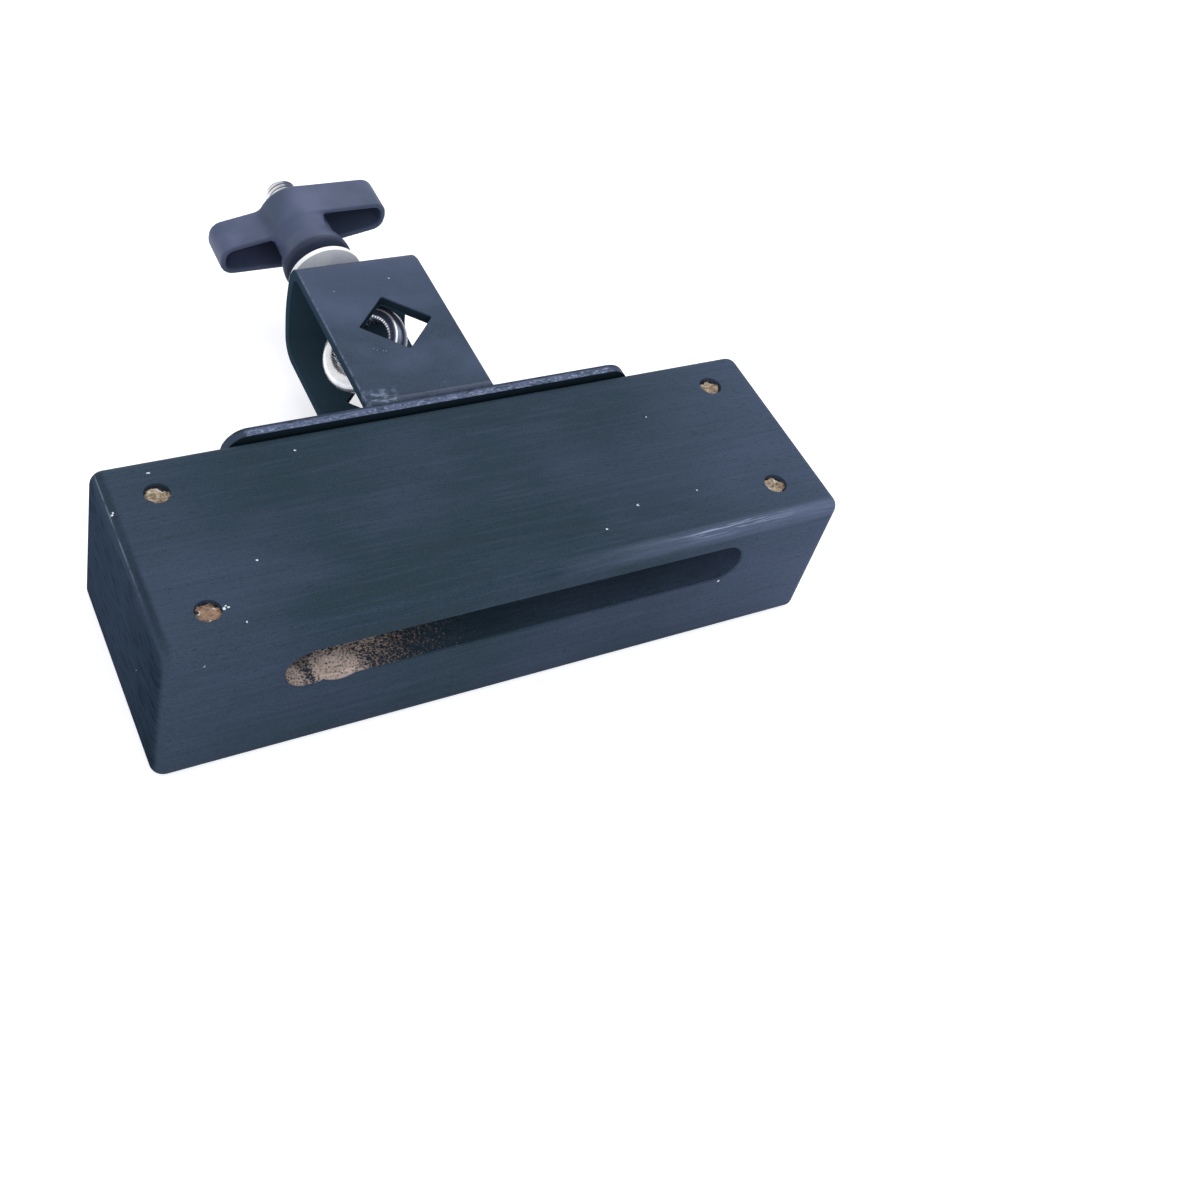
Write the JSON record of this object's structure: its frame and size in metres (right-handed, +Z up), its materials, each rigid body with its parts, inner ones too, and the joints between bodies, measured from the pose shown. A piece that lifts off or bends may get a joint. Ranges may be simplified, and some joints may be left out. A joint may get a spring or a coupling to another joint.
{
  "type": "wood block with rod clamp",
  "caption": "Black painted wood block percussion instrument with a long resonance slot in front and a welded steel rod clamp with an eyebolt and wing nut on the back.",
  "frame": {"origin": "centre of the block's underside, level with the plate's lower edge", "axes": "+X along the block to the right as seen from the slot side, +Y from the slot to the clamp, +Z up"},
  "size_m": [0.19, 0.1771, 0.0467],
  "materials": {
    "painted_wood": "satin",
    "raw_wood": "matte",
    "black_steel": "satin",
    "screw_steel": "satin",
    "plated_steel": "gloss",
    "plated_washer": "satin",
    "insert_steel": "satin",
    "wing_plastic": "satin"
  },
  "bodies": {
    "block": {"wood_block": "painted_wood", "mounting_plate": "black_steel", "clamp_strap": "black_steel", "weld_upper": "black_steel", "weld_lower": "black_steel", "plug_front_left": "raw_wood", "plug_front_right": "raw_wood", "plug_back_left": "raw_wood", "plug_back_right": "raw_wood", "screw_left_low": "screw_steel", "screw_left_high": "screw_steel", "screw_right_low": "screw_steel", "screw_right_high": "screw_steel"},
    "swivel": {"washer": "plated_washer"},
    "eyebolt": {"eyebolt": "plated_steel"},
    "wing_nut": {"wing_nut": "wing_plastic", "thread_insert": "insert_steel"}
  },
  "joints": [
    {"name": "clamp_swivel", "type": "hinge", "parent": "block", "child": "swivel", "pos_m": [-0.0054, 0.1036, 0.0304], "axis": [0, 1, 0], "range_deg": [-6, 89]},
    {"name": "nut_turn", "type": "hinge", "parent": "swivel", "child": "wing_nut", "pos_m": [-0.0054, 0.1161, 0.0304], "axis": [0, -1, 0], "range_deg": [-550, 1648]},
    {"name": "bolt_draw", "type": "slide", "parent": "swivel", "child": "eyebolt", "axis": [0, 1, 0], "range_m": [-0.0022, 0.0066]}
  ],
  "couplings": [
    {"joint": "nut_turn", "follows": "bolt_draw", "rad_per_m": 4188.8}
  ]
}
